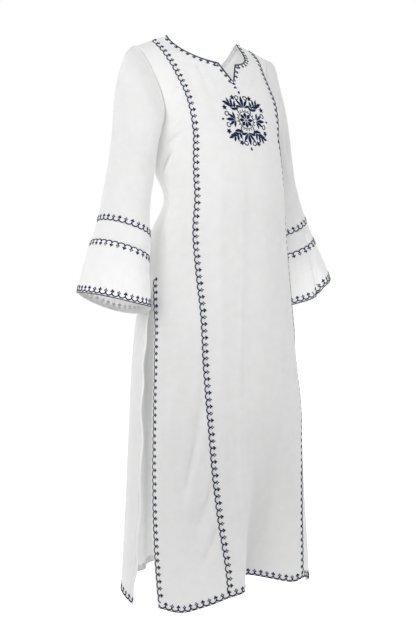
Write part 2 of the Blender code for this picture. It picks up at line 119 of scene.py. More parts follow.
# Each crease is a chain of points: x, y, z, then the depth and half width of the leg that starts
# there. A negative depth is a ridge.
CENTRE_CREASES = (
    ((-113, -84, -86, 2.2, 8), (-114, -113, -132, 1.9, 9), (-116, -135, -181)),
    ((-83, -85, -74, 2.6, 7), (-79, -115, -120, 1.9, 9), (-78, -140, -170)),
    ((-29, -117, -111, 2.4, 8), (-68, -135, -154, 1.9, 10), (-85, -149, -199)),
    ((86, -92, -88, 3, 5.5), (40, -136, -149)),
    ((95, -80, -70, 2.2, 5), (83, -120, -130)),
    ((-81, -170, -280, -4.2, 14), (-95, -188, -430, -4.8, 15), (-105, -199, -638, -4.8, 15),
     (-118, -220, -866, -4.2, 14), (-113, -232, -1047)),
    ((-2, -189, -306, 5, 30), (-19, -208, -430, 5.5, 30), (-32, -224, -640, 5.5, 30),
     (-50, -246, -869, 5, 30), (-38, -239, -1032)),
    ((-30, -193, -324, -2.1, 8), (-40, -209, -523, -2.3, 8), (-69, -228, -754, -2.6, 8.5),
     (-84, -243, -980, -2.6, 9), (-77, -249, -1186)),
    ((64, -216, -642, -3.9, 16), (50, -243, -875, -4.3, 17), (70, -227, -1115)),
    ((100, -165, -400, 3.5, 14), (98, -205, -700, 4.5, 16), (110, -225, -1020)),
)


def columns(table, names, plain):
    """The table as arrays by column name, in metres apart from the plain columns"""
    arrays = dict(zip(names, np.array(table, dtype=float).T))
    return {name: values if name in plain else values / MM for name, values in arrays.items()}


def along(knots, values, at):
    """Smooth curve through the values at rising knots, held flat past both ends"""
    at = np.clip(np.asarray(at, dtype=float), knots[0], knots[-1])
    slopes = np.gradient(values, knots)
    left = np.clip(np.searchsorted(knots, at, side="right") - 1, 0, len(knots) - 2)
    width = knots[left + 1] - knots[left]
    t = (at - knots[left]) / width
    rise = smooth_step(t)
    start_pull = t - 2 * t ** 2 + t ** 3
    end_pull = t ** 3 - t ** 2
    level = values[left] * (1 - rise) + values[left + 1] * rise
    return level + width * (slopes[left] * start_pull + slopes[left + 1] * end_pull)


def smooth_through(knots, points, at):
    """Smooth curve through points at rising knots"""
    return np.stack([along(knots, values, at) for values in points.T], axis=-1)


def smooth_step(t):
    """Rises from 0 to 1 with flat ends"""
    return t * t * (3 - 2 * t)


SECTION = columns(SECTIONS, SECTION_COLUMNS, ("power", "princess"))
EDGE = columns(SLIT_EDGES, EDGE_COLUMNS, ("front", "back"))
HEM_LINE = columns(HEM, HEM_COLUMNS, ("angle",))
SAG_LINE = columns(HEM_SAG, HEM_COLUMNS, ("angle",))


def section(name, z):
    """One measure of the body's section at a height"""
    return along(SECTION["z"], SECTION[name], z)


def hem_z(angle):
    """Height of the hem at an angle round the body"""
    turned = (np.asarray(angle, dtype=float) + 180) % 360 - 180
    cut = along(HEM_LINE["angle"], HEM_LINE["drop"], np.abs(turned))
    return -LENGTH_FRONT - cut - along(SAG_LINE["angle"], SAG_LINE["drop"], turned)


SIDE_HEM_Z = float(hem_z(75.0))
SKIRT_HEIGHT = UNDERARM_Z - SIDE_HEM_Z


def skirt_point(angle, share):
    """Point of the cloth at an angle in degrees; share runs from the hem to the underarm"""
    bottom = hem_z(angle)
    z = bottom + (UNDERARM_Z - bottom) * share
    turn = np.radians(angle)
    power = 2 / section("power", z)
    across = np.sign(np.sin(turn)) * np.abs(np.sin(turn)) ** power
    ahead = np.sign(np.cos(turn)) * np.abs(np.cos(turn)) ** power
    depth = np.where(ahead > 0, section("front", z), section("back", z))
    width = section("half_width", z)
    inward = np.zeros_like(z)
    for middle, half_angle, deep, reach, fade, square in FOLDS:
        low = np.clip(1 - (z - bottom) / (reach / MM), 0, 1) ** fade
        away = np.abs((angle - middle + 180) % 360 - 180) / half_angle
        inward = inward + deep / MM * low * np.exp(-away ** square)
    facing = np.array((np.sin(turn) / width, -np.cos(turn) / depth))
    facing = facing / np.linalg.norm(facing, axis=0)
    x = width * across - inward * facing[0]
    y = section("centre_y", z) - depth * ahead - inward * facing[1]
    return np.stack((x, y, z), axis=-1)


def lengths(points):
    """Length along a line up to each of its points"""
    steps = np.linalg.norm(np.diff(points, axis=0), axis=1)
    return np.concatenate(((0.0,), np.cumsum(steps)))


def read_line(points, at, wanted):
    """A line's points at the wanted lengths"""
    return np.stack([np.interp(wanted, at, values) for values in points.T], axis=1)


def skirt_row(share, first, last, cells):
    """One level of a panel between two edge angles, with points closer together at its edges"""
    points = skirt_point(np.linspace(first, last, cells * TRIED_PER_CELL + 1), share)
    length = lengths(points)
    middle = np.linspace(EDGE_STEPS[-1], length[-1] - EDGE_STEPS[-1], cells + 1)[1:-1]
    return read_line(points, length, np.concatenate((EDGE_STEPS, middle, length[-1] - EDGE_STEPS[::-1])))


def up_from_hem(bottom, top, rows):
    """Heights from a turned hem upwards, closer together at the hem"""
    low = bottom + HEM_STEPS
    return np.concatenate((low, np.linspace(low[-1], top, rows + 1)[1:]))


def edge_angle(name, share):
    """Angle of a panel's edge at a level; name is princess, front or back"""
    nominal = SIDE_HEM_Z + SKIRT_HEIGHT * share
    if name == "princess":
        return float(section("princess", nominal))
    if nominal < SLIT_TOP_Z:
        return float(along(EDGE["z"], EDGE[name], nominal))
    down = (UNDERARM_Z - nominal) / (UNDERARM_Z - SLIT_TOP_Z)
    return SIDE_SEAM_TOP + (SIDE_SEAM_FOOT - SIDE_SEAM_TOP) * down


def edge_curve(table, start, end):
    """Curve through a table's points between two end points, as a function of its share"""
    rows = np.array(table)
    share = np.concatenate(((0,), rows[:, 0], (1,)))
    points = np.vstack((start, rows[:, 1:] / MM, end))
    return lambda at: smooth_through(share, points, at)


def neck_edge(share, beside, drop, reach, roundness, bow):
    """Neck edge from a distance beside its middle to the neck point, wearer's left"""
    power = 2 / roundness
    start = math.asin((beside / NECK_HALF_WIDTH) ** (1 / power))
    turn = start + (math.pi / 2 - start) * np.asarray(share)
    low = np.clip(np.cos(turn), 0, 1) ** power
    return np.stack((NECK_HALF_WIDTH * np.sin(turn) ** power, reach * low ** bow, -drop * low), axis=-1)


centre_front = edge_curve(CENTRE_FRONT, skirt_point(0.0, 1.0), NOTCH_BOTTOM)
princess_seam = edge_curve(
    PRINCESS, skirt_point(edge_angle("princess", 1.0), 1.0),
    NECK_POINT + (SHOULDER_TIP - NECK_POINT) * PRINCESS_ON_SHOULDER)


def front_opening(row):
    """Inner edge of the chest's half panel at a row: centre front, notch, then neck"""
    if row <= NOTCH_ROW:
        return centre_front(row / NOTCH_ROW)
    if row <= CORNER_ROW:
        share = (row - NOTCH_ROW) / (CORNER_ROW - NOTCH_ROW)
        return NOTCH_BOTTOM + (neck_edge(0.0, **FRONT_NECK) - NOTCH_BOTTOM) * share
    return neck_edge((row - CORNER_ROW) / (CHEST_ROWS - CORNER_ROW), **FRONT_NECK)


def mirrored(points):
    """The same points on the other side of the body"""
    return points * np.array((-1.0, 1.0, 1.0))


def chest_rows(opening, seam, base):
    """Rows above the underarm from inner edge to outer seam, which keep the base's roundness low down"""
    share = (lengths(base) / lengths(base)[-1])[:, None]
    roundness = base - (base[0] + (base[-1] - base[0]) * share)
    rows = [base]
    for row in range(1, CHEST_ROWS + 1):
        inner, outer = opening(row), seam(row / CHEST_ROWS)
        fullness = 1 - smooth_step(row / CHEST_ROWS)
        rows.append(inner + (outer - inner) * share + fullness * roundness)
    return np.array(rows)


def flat_places(grid, up_start=0.0):
    """Where each point of a grid lies on the flat cloth, in metres, for the weave"""
    across = np.array([lengths(row) for row in grid])
    steps = np.linalg.norm(np.diff(grid, axis=0), axis=2).mean(axis=1)
    up = up_start + np.concatenate(((0.0,), np.cumsum(steps)))
    return np.stack((across, np.broadcast_to(up[:, None], across.shape)), axis=-1)


def cut_on_fold(skirt, half, neck_row, order):
    """Grids of a panel that is alike left and right, each with its flat places: the full rows up to
    the neck, then the left and the right shoulder. Order is 1, or -1 where rows run from left to
    right as on the back."""
    low = half[:neck_row + 1]
    full = np.concatenate((mirrored(low)[:, :0:-1], low), axis=1)[:, ::order]
    whole, left = np.concatenate((skirt[:-1], full)), half[neck_row:, ::order]
    whole_flat = flat_places(whole)
    whole_flat[..., 0] -= whole_flat[:, whole.shape[1] // 2, 0][:, None]
    left_flat = flat_places(left, whole_flat[-1, 0, 1])
    left_flat[..., 0] -= left_flat[:, 0 if order > 0 else -1, 0][:, None]
    right, right_flat = mirrored(left)[:, ::-1], left_flat[:, ::-1] * np.array((-1.0, 1.0))
    return (whole, whole_flat), (left, left_flat), (right, right_flat)


def weld(grids):
    """Points, four-sided faces and flat places of grids that share coinciding points"""
    points, faces, places, found = [], [], [], {}
    for grid, flat in grids:
        names = np.round(grid * WELD).astype(int)
        number = np.empty(grid.shape[:2], dtype=int)
        for place in np.ndindex(*number.shape):
            name = tuple(names[place])
            if name not in found:
                found[name] = len(points)
                points.append(grid[place])
                places.append(flat[place])
            number[place] = found[name]
        corners = (number[:-1, :-1], number[:-1, 1:], number[1:, 1:], number[1:, :-1])
        faces += map(tuple, np.stack(corners, axis=-1).reshape(-1, 4).tolist())
    return np.array(points), faces, np.array(places)


def corner_normals(points, faces):
    """Normal at each point of a sheet"""
    corners = points[np.array(faces)]
    face = np.cross(corners[:, 2] - corners[:, 0], corners[:, 3] - corners[:, 1])
    total = np.zeros_like(points)
    for corner in range(4):
        np.add.at(total, np.array(faces)[:, corner], face)
    return total / np.linalg.norm(total, axis=1)[:, None]


def nearest_distance(points, lines):
    """Distance from each point to the nearest point of the lines"""
    targets = np.concatenate(lines)
    tree = KDTree(len(targets))
    for number, target in enumerate(targets):
        tree.insert(target, number)
    tree.balance()
    return np.array([tree.find(point)[2] for point in points])


def end_fade(share):
    """How much of a crease's depth is left, by the share of its end leg from its end"""
    return CREASE_END + (1 - CREASE_END) * smooth_step(np.clip(share / CREASE_FADE, 0, 1))


def crease_depth(points, creases):
    """How far the listed creases press each point inwards; both ends of a crease fade out"""
    total = np.zeros(len(points))
    for crease in creases:
        chain = np.zeros(len(points))
        for leg, after in zip(crease, crease[1:]):
            start, run = np.array(leg[:3]) / MM, (np.array(after[:3]) - leg[:3]) / MM
            depth, half_width = np.array(leg[3:]) / MM
            held = np.clip(((points - start) @ run) / (run @ run), 0, 1)
            away = np.linalg.norm(points - (start + held[:, None] * run), axis=1)
            pressed = depth * np.exp(-(away / half_width) ** 2)
            if leg is crease[0]:
                pressed = pressed * end_fade(held)
            if after is crease[-1]:
                pressed = pressed * end_fade(1 - held)
            chain = np.where(np.abs(pressed) > np.abs(chain), pressed, chain)
        total = total + chain
    return total


def sheet_mesh(name, points, faces, places, thickness):
    """Closed thin wall of cloth with its flat places as a UV map"""
    inner = points - corner_normals(points, faces) * thickness[:, None]
    count = len(points)
    edges = set()
    for face in faces:
        edges.update(zip(face, face[1:] + face[:1]))
    solid = list(faces) + [tuple(corner + count for corner in face[::-1]) for face in faces]
    for start, end in edges:
        if (end, start) not in edges:
            solid.append((end, start, start + count, end + count))
    mesh = bpy.data.meshes.new(name)
    mesh.from_pydata(np.concatenate((points, inner)).tolist(), [], solid)
    mesh.update()
    flat = mesh.uv_layers.new(name="flat_cloth")
    corner_points = np.empty(len(mesh.loops), dtype=int)
    mesh.loops.foreach_get("vertex_index", corner_points)
    flat.data.foreach_set("uv", places[corner_points % count].ravel())
    mesh.shade_smooth()
    mesh.set_sharp_from_angle(angle=SHARP_EDGE)
    return mesh


def plug(tree, node, inputs):
    """Sets a shader node's inputs, each to a constant or to another node's output"""
    for name, value in inputs.items():
        if isinstance(value, bpy.types.NodeSocket):
            tree.links.new(value, node.inputs[name])
        else:
            node.inputs[name].default_value = value


def add_node(tree, kind, output, inputs, **settings):
    """One output of a new shader node with the given inputs and settings"""
    node = tree.nodes.new("ShaderNode" + kind)
    for name, value in settings.items():
        setattr(node, name, value)
    plug(tree, node, inputs)
    return node.outputs[output]


def tone_ramp(tree, level, *stops):
    """Colour by level, between two stops given as position and colour"""
    ramp = tree.nodes.new("ShaderNodeValToRGB")
    tree.links.new(level, ramp.inputs["Fac"])
    for stop, (position, colour) in zip(ramp.color_ramp.elements, stops):
        stop.position, stop.color = position, (*colour, 1.0)
    return ramp.outputs["Color"]


def new_material(name):
    """A new material and its tree of shader nodes"""
    material = bpy.data.materials.new(name)
    material.use_nodes = True
    return material, material.node_tree


def woven_cloth(name, colour):
    """Matt white rayon: a fine plain weave with faint thicker threads and a soft sheen"""
    material, tree = new_material(name)
    flat = add_node(tree, "UVMap", "UV", {}, uv_map="flat_cloth")
    wave = {"Vector": flat, "Scale": 700.0, "Distortion": 0.6, "Detail": 1.0, "Detail Scale": 0.4}
    warp, weft = (
        add_node(tree, "TexWave", "Fac", wave, bands_direction=direction) for direction in ("X", "Y"))
    weave = add_node(tree, "Math", "Value", {0: warp, 1: weft}, operation="MULTIPLY")
    stretched = add_node(tree, "Mapping", "Vector", {"Vector": flat, "Scale": (60.0, 900.0, 1.0)})
    slub = add_node(tree, "TexNoise", "Fac", {"Vector": stretched, "Scale": 1.0, "Detail": 3.0})
    mottle = add_node(tree, "TexNoise", "Fac", {"Vector": flat, "Scale": 40.0, "Detail": 4.0})
    blend = add_node(tree, "Math", "Value", {0: slub, 1: 0.5, 2: mottle}, operation="MULTIPLY_ADD")
    relief = add_node(tree, "Math", "Value", {0: weave, 1: slub}, operation="ADD")
    bump = {"Strength": 0.25, "Distance": 0.00015, "Height": relief}
    dark = [level * CLOTH_SHADE for level in colour]
    plug(tree, tree.nodes["Principled BSDF"], {
        "Base Color": tone_ramp(tree, blend, (0.45, dark), (1.0, colour)),
        "Roughness": 0.78,
        "Specular IOR Level": 0.25,
        "Sheen Weight": 0.12,
        "Sheen Roughness": 0.5,
        "Subsurface Weight": 1.0,
        "Subsurface Radius": (1.0, 1.0, 1.0),
        "Subsurface Scale": 0.0040,
        "Normal": add_node(tree, "Bump", "Normal", bump),
    })
    return material


WHITE_CLOTH = woven_cloth("white_cloth", (0.90, 0.90, 0.892))
SHEETS = {}


def in_scene(name, data):
    """A new object in the scene"""
    thing = bpy.data.objects.new(name, data)
    bpy.context.scene.collection.objects.link(thing)
    return thing


def cut_piece(name, grids, creases, seams, free_edges, node):
    """One cut piece: creased, sunk a little at its seams and turned over at its free edges"""
    points, faces, places = weld(grids)
    beside = nearest_distance(points, seams)
    pressed = crease_depth(points, creases) * smooth_step(np.clip(beside / SEAM_HOLD, 0, 1))
    pressed = pressed + SEAM_DIP * np.exp(-(beside / SEAM_SPREAD) ** 2)
    points = points - corner_normals(points, faces) * pressed[:, None]
    thickness = np.full(len(points), CLOTH)
    if free_edges:
        thickness[nearest_distance(points, free_edges) < TURNED_DEPTH] = TURNED
    mesh = sheet_mesh(name, points, faces, places, thickness)
    mesh.materials.append(WHITE_CLOTH)
    piece = in_scene(name, mesh)
    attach(piece, "root")
    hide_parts(node)
    SHEETS[name] = (points, faces)
    return piece


levels = up_from_hem(0.0, SKIRT_HEIGHT, SKIRT_ROWS) / SKIRT_HEIGHT
skirt = []
for level in levels:
    princess = edge_angle("princess", level)
    skirt.append(skirt_row(level, -princess, princess, CENTRE_CELLS))
middle = len(skirt[-1]) // 2
chest = chest_rows(front_opening, princess_seam, skirt[-1][middle:])
grids = cut_on_fold(skirt, chest, NOTCH_ROW, 1)
whole, left, right = (grid for grid, flat in grids)
centre_hem, centre_line, front_neck = whole[0], whole[:, middle], left[:, 0]
front_centre = cut_piece(
    "centre_panel", grids, CENTRE_CREASES,
    [whole[:, 0], whole[:, -1], left[:, -1], right[:, 0]], [whole[0], left[:, 0], right[:, -1]],
    "front_centre")

# The two side panels run from the shoulder, past the armhole and down the side to the hem. Each is
# cut from the same white cloth and sewn to the centre panel along the princess seam and to the back
# down to the top of the side slit; below it the slit's edge is turned over and sewn.
SIDES = {"right": -1, "left": 1}
SIDE_CELLS = 16
ARMHOLE_FRONT = (
    (0.16, 172, -70, -228), (0.33, 169, -75.5, -190), (0.50, 171, -64, -150),
    (0.67, 177.5, -46, -108), (0.84, 188, -28, -66),
)
# The slit's edge curls inwards, on both sides alike
SLIT_CURL = (
    (196, -61, -660, 5.5, 14), (208, -74, -800, 6.5, 14), (216, -82, -900, 6, 14),
    (222, -88, -1000, 5, 14), (226, -96, -1100, 4, 14), (230, -108, -1200, 3, 14),
    (232, -122, -1290, 2, 14), (232, -131, -1340),
)
SIDE_CREASES = {
    "right": (
        ((-136, -218, -1044, 4.8, 9), (-142, -213, -1064, 5.4, 10), (-155, -204, -1115, 4.2, 12),
         (-172, -189, -1170)),
        ((-134, -226, -1156, 5.2, 9), (-140, -221, -1174, 5.6, 10), (-149, -215, -1202, 4.2, 12),
         (-168, -198, -1255)),
        ((-140, -192, -760, 5.5, 14), (-158, -192, -883, 8.5, 16), (-174, -182, -1003, 6.1, 16),
         (-187, -170, -1090)),
        ((-166, -143, -639, -4.5, 20), (-177, -146, -753, -5.3, 20), (-198, -136, -891, -4.5, 18),
         (-209, -128, -1006)),
        ((-156, -194, -911, -4.9, 11), (-161, -193, -979, -5.3, 11), (-177, -180, -1059, -4.5, 11),
         (-187, -175, -1138)),
        ((-174, -76, -282, 3.2, 7), (-157, -110, -249, 2, 8), (-138, -132, -232)),
        ((-171, -60, -345, 4.2, 7), (-165, -96, -285)),
        ((-170, -52, -360, 2.6, 8), (-158, -120, -385)),
    ),
    "left": (
        ((135, -220, -1080, 4.7, 7), (152, -204, -1130, 2.6, 11), (176, -184, -1205)),
        ((150, -178, -740, 4.6, 15), (176, -170, -900, 4.9, 16), (196, -158, -1060)),
        ((173, -72, -290, 2.6, 6.5), (152, -118, -262)),
        ((170, -58, -350, 3.1, 7), (160, -104, -300)),
    ),
}

armhole_front = edge_curve(ARMHOLE_FRONT, skirt_point(90.0, 1.0), SHOULDER_TIP)


def side_panel_grid(side):
    """Rows of a side panel, from princess seam to side edge on the wearer's left"""
    rows = []
    for level in levels:
        ends = side * edge_angle("princess", level), side * edge_angle("front", level)
        rows.append(skirt_row(level, min(ends), max(ends), SIDE_CELLS))
    base = rows[-1] if side > 0 else mirrored(rows[-1])[::-1]
    upper = chest_rows(lambda row: princess_seam(row / CHEST_ROWS), armhole_front, base)[1:]
    return np.concatenate((rows, upper if side > 0 else mirrored(upper)[:, ::-1]))


def below_slit(line):
    """The part of a panel's edge that is free, below the side slit's top"""
    return line[line[:, 2] < SLIT_TOP_Z]


def above_slit(line):
    """The part of a panel's edge that is sewn"""
    return line[line[:, 2] >= SLIT_TOP_Z]


side_grids = {word: side_panel_grid(side) for word, side in SIDES.items()}
for word, side in SIDES.items():
    grid = side_grids[word]
    sewn, open_edge = grid[:, ::side][:, 0], grid[:, ::side][:, -1]
    curl = [(side * x, *rest) for x, *rest in SLIT_CURL]
    panel = cut_piece(
        f"side_panel_{word}", [(grid, flat_places(grid))], (curl, *SIDE_CREASES[word]),
        [sewn, above_slit(open_edge), grid[-1]], [grid[0], below_slit(open_edge)],
        f"front_side_{word}")

# The back is one piece of the same white cloth, cut on the fold, from a scooped neck to the hem.
# It is sewn to the front at the shoulders and sides and hangs free below the slits, where its
# turned edges wave a little.
BACK_CELLS = 76
BACK_NECK_ROW = 36
BACK_NECK = {"beside": 0.0, "drop": 0.075, "reach": 0.060, "roundness": 2.9, "bow": 0.8}
ARMHOLE_BACK = (
    (0.16, 170, -6, -232), (0.33, 168, 22, -198), (0.50, 170, 33, -155),
    (0.67, 177, 29, -112), (0.84, 190, 11, -68),
)
CENTRE_BACK = ((0.33, 0, 90, -195), (0.67, 0, 82, -135))
BACK_CREASES = (
    ((-60, 85, -200, 3.4, 12), (-75, 60, -330)),
    ((50, 86, -190, 3.4, 12), (72, 58, -340)),
    ((-110, 10, -400, 5.4, 10), (-40, 4, -370)),
    ((115, 8, -395, 5.4, 11), (30, 4, -415)),
    ((-20, 3, -385, 3, 9), (60, 8, -365)),
    ((-80, 55, -480, 4.7, 16), (-95, 115, -720, 4.7, 18), (-120, 115, -1000)),
    ((20, 65, -490, 4.7, 17), (10, 135, -760, 4.1, 18), (-10, 140, -1040)),
    ((100, 50, -480, 4.1, 16), (120, 105, -740)),
    ((160, -20, -330, 3.8, 8), (120, 52, -290)),
    ((-160, -20, -335, 3.8, 8), (-118, 52, -300)),
)
EDGE_WAVE = 0.0028
EDGE_WAVE_LENGTH = 0.115
EDGE_WAVE_REACH = 0.028    # how far it reaches into the panel
EDGE_WAVE_TOP = SLIT_TOP_Z - 0.03
EDGE_WAVE_GROWTH = 0.2     # how far below its top it is at its full size
EDGE_DRIFT, EDGE_DRIFT_RATE = 2.0, 9.0
EDGE_PHASES = ((0, 0.6), (-1, 2.3))


def back_opening(row):
    """Inner edge of the back's half panel at a row: centre back, then neck"""
    if row <= BACK_NECK_ROW:
        return centre_back(row / BACK_NECK_ROW)
    return neck_edge((row - BACK_NECK_ROW) / (CHEST_ROWS - BACK_NECK_ROW), **BACK_NECK)


def wave_edges(row):
    """Gives the free side edges of the back a slight uneven wave"""
    height = row[0, 2]
    low = np.clip((EDGE_WAVE_TOP - height) / EDGE_WAVE_GROWTH, 0, 1)
    drift = EDGE_DRIFT * math.sin(EDGE_DRIFT_RATE * height)
    for end, phase in EDGE_PHASES:
        away = np.linalg.norm(row - row[end], axis=1)
        swing = math.sin(2 * math.pi * height / EDGE_WAVE_LENGTH + phase + drift)
        size = np.sign(row[end, 0]) * EDGE_WAVE * low * swing
        row[:, 0] += size * np.exp(-(away / EDGE_WAVE_REACH) ** 2)
    return row


centre_back = edge_curve(CENTRE_BACK, skirt_point(180.0, 1.0), neck_edge(0.0, **BACK_NECK))
armhole_back = edge_curve(ARMHOLE_BACK, skirt_point(90.0, 1.0), SHOULDER_TIP)
skirt = []
for level in levels:
    side = edge_angle("back", level)
    skirt.append(wave_edges(skirt_row(level, side, 360 - side, BACK_CELLS)))
half = chest_rows(back_opening, armhole_back, skirt[-1][len(skirt[-1]) // 2::-1])
grids = cut_on_fold(skirt, half, BACK_NECK_ROW, -1)
back_whole, left, right = (grid for grid, flat in grids)
back_neck = left[:, -1]
back_sides = back_whole[:, 0], back_whole[:, -1]
back = cut_piece(
    "back_panel", grids, BACK_CREASES,
    [*map(above_slit, back_sides), left[-1], right[-1]],
    [back_whole[0], *map(below_slit, back_sides), left[:, -1], right[:, 0]],
    "back")

# Each sleeve is cut in three pieces from the same cloth: the sleeve from the armhole to the first
# embroidered seam, a plain band, and a flared cuff. They are tubes sewn to one another, and the
# cuff's edge is turned over.
SLEEVE_HEAD_RISE = 0.135
UNDERARM_RISE = 0.035
SLEEVE_HEAD_DIP = 0.6
SLEEVE_HEAD_RUN = 1.1
HEAD_PROBE = 0.01          # the head runs on as the sleeve does this far below it
# How far the sleeve head stands out over the shoulder and forward, by its share down from the seam
FULLNESS_COLUMNS = ("share", "outward", "forward")
HEAD_FULLNESS = (
    (0.00, 0, 0), (0.15, 2, 5), (0.30, 7, 8), (0.48, 12.5, 8), (0.65, 9, 6), (0.82, 3.5, 2.5),
    (1.00, 0, 0),
)
FULLNESS_SHARE = {"right": 1.0, "left": 0.35}   # the far sleeve lies closer to the shoulder
ARMHOLE_GAP = 0.0003
SLEEVE_CELLS = 168
SLEEVE_HEAD_ROWS = 30
SLEEVE_ARM_ROWS = 34
BAND_ROWS = 8
CUFF_ROWS = 20
SLEEVE_SEAMS = {
    "right": {"above_band": -0.4755, "below_band": -0.5190, "opening": -0.6520},
    "left": {"above_band": -0.4710, "below_band": -0.5120, "opening": -0.6340},
}
RING_COLUMNS = (
    "z", "right_x", "right_y", "right_lift", "left_x", "left_y", "left_lift", "radius_x", "radius_y")
RINGS = (
    (-650, 293.5, -44, 0.32, 283, -43, 0.46, 80, 98),
    (-600, 288.5, -44, 0.35, 276, -38, 0.47, 74, 92),
    (-540, 279.5, -43, 0.38, 265, -30, 0.48, 64, 83),
    (-488, 266, -41, 0.40, 252, -23, 0.48, 58, 75),
    (-405, 253.5, -37, 0.42, 237, -12, 0.48, 50, 66),
    (-330, 238, -35, 0.42, 232, 2, 0.46, 47, 67),
    (-265, 230, -38, 0.42, 228, 10, 0.44, 45, 70),
)
# How far the worn cuff's opening rises or sags, by degrees round it
CUFF_LIFT_COLUMNS = ("turn", "right", "left")
CUFF_LIFT_POWER = 1.5
CUFF_LIFTS = (
    (0, 6, 9), (30, 6, 9.5), (60, 6.5, 9.5), (89, 8.5, 9), (100, 10, 0), (115, 12.5, -1),
    (136, 15.5, 0), (155, 12, 0), (180, 6, 0), (210, 2, 0), (240, 2.5, 1), (255, 4.5, 2),
    (270, 6.5, 3), (282, 9, 4), (295, 10.5, 5), (316, 11, 7), (340, 7.5, 8.5), (360, 6, 9),
)
# The left sleeve's first crease is its deep pleat
SLEEVE_CREASES = {
    "right": (
        ((-213, -45, -100, 3.9, 7.5), (-232, -86, -190, 5, 8.5), (-240, -103, -262, 3.6, 9),
         (-216, -99, -335)),
        ((-268, -74, -215, -3.9, 10), (-258, -96, -305, -3.4, 11), (-236, -98, -405)),
        ((-270, -20, -160, 3.4, 10), (-286, -10, -300)),
        ((-290, -60, -330, 3.1, 9), (-268, -98, -400)),
        ((-206, 20, -250, 4.5, 8.5), (-250, 30, -330)),
        ((-230, 34, -300, 3.9, 8.5), (-282, 16, -360)),
        ((-252, 34, -420, 3.1, 10), (-300, 6, -450)),
        ((-300, -100, -560, 4.2, 14), (-312, -118, -640)),
        ((-350, -70, -560, 3.6, 13), (-366, -78, -620)),
        ((-330, 20, -560, 4.8, 14), (-350, 34, -630)),
        ((-270, 40, -560, 4.2, 14), (-276, 52, -650)),
    ),
    "left": (
        ((256.5, -77.2, -411.6, 3.5, 5), (261.9, -91.3, -464.5, 6, 5.5),
         (261.2, -104.7, -510.5, 9, 6), (268.5, -121.7, -568.9, 12, 6.5),
         (271.5, -136.5, -640, 12, 6.5), (272.5, -138.5, -690)),
        ((214, -40, -105, 3.9, 8), (224, -56, -200, 4.8, 8.5), (236, -66, -300)),
        ((216, -56, -260, -3.1, 9), (240, -76, -385)),
        ((270, -10, -170, 3.4, 10), (280, 5, -300)),
        ((262, -50, -330, 3.4, 9), (246, -78, -420)),
        ((206, 50, -250, 4.5, 8.5), (250, 66, -320)),
        ((230, 68, -300, 3.9, 8.5), (276, 40, -370)),
        ((232, -96, -530, 3.6, 13), (236, -116, -620)),
        ((300, -90, -530, 4.2, 14), (318, -104, -590)),
        ((318, 20, -530, 4.2, 14), (336, 30, -600)),
    ),
}
FULLNESS = columns(HEAD_FULLNESS, FULLNESS_COLUMNS, ("share",))
RING = columns(RINGS, RING_COLUMNS, ("right_lift", "left_lift"))
CUFF_LIFT = columns(CUFF_LIFTS, CUFF_LIFT_COLUMNS, ("turn",))
SLEEVE_TOP = RING["z"][-1]


def ring_line(word, turns, z):
    """A sleeve ring; turn is 0 outside, 90 degrees in front, 180 at the body"""
    x, y, lift = (along(RING["z"], RING[f"{word}_{name}"], z) for name in ("x", "y", "lift"))
    wide = along(RING["z"], RING["radius_x"], z) * np.cos(turns)
    deep = along(RING["z"], RING["radius_y"], z) * np.sin(turns)
    band, opening = SLEEVE_SEAMS[word]["below_band"], SLEEVE_SEAMS[word]["opening"]
    low = np.clip((band - z) / (band - opening), 0, 1) ** CUFF_LIFT_POWER
    rise = low * along(CUFF_LIFT["turn"], CUFF_LIFT[word], np.degrees(turns))
    return np.stack((SIDES[word] * (x + wide), y - deep, z + wide * lift + rise), axis=-1)


def armhole_line(word, turns):
    """The armhole by turns round the sleeve"""
    front = turns <= math.pi
    share = np.where(front, 1 - turns / math.pi, turns / math.pi - 1)
    points = np.where(front[:, None], armhole_front(share), armhole_back(share))
    points = points + np.array((ARMHOLE_GAP, 0, 0))
    return points if word == "left" else mirrored(points)


def sleeve_head_row(word, turns, share):
    """A ring of the sleeve head, which bends from the armhole down into the first ring"""
    side = SIDES[word]
    start, end = armhole_line(word, turns), ring_line(word, turns, SLEEVE_TOP)
    reach = np.linalg.norm(end - start, axis=1)
    outward = 0.5 + 0.5 * np.cos(turns)
    rise_out = UNDERARM_RISE + (SLEEVE_HEAD_RISE - UNDERARM_RISE) * outward
    start_pull = np.stack(
        (side * rise_out, np.zeros_like(turns), -SLEEVE_HEAD_DIP * reach * (1 - outward)), axis=-1)
    end_pull = ring_line(word, turns, SLEEVE_TOP - HEAD_PROBE) - end
    end_pull = end_pull * (SLEEVE_HEAD_RUN * reach / HEAD_PROBE)[:, None]
    rise = smooth_step(share)
    points = start * (1 - rise) + end * rise
    points = points + start_pull * (share - 2 * share ** 2 + share ** 3)
    points = points + end_pull * (share ** 3 - share ** 2)
    out, ahead = (
        FULLNESS_SHARE[word] * float(along(FULLNESS["share"], FULLNESS[name], share))
        for name in ("outward", "forward"))
    points[:, 0] += side * out * outward * np.cos(turns)
    points[:, 1] -= out * outward * np.sin(turns) + ahead * np.clip(np.sin(turns), 0, 1)
    return points


def sleeve_rows(word, heights, head_rows=0):
    """Rings of one sleeve piece from its bottom up, in the order that faces them outwards"""
    turns = np.linspace(0, 2 * math.pi, SLEEVE_CELLS + 1)
    turns[-1] = 0.0
    rows = [ring_line(word, turns, z) for z in heights]
    rows += [sleeve_head_row(word, turns, row / head_rows) for row in range(head_rows - 1, -1, -1)]
    return np.array(rows)[:, ::-SIDES[word]]


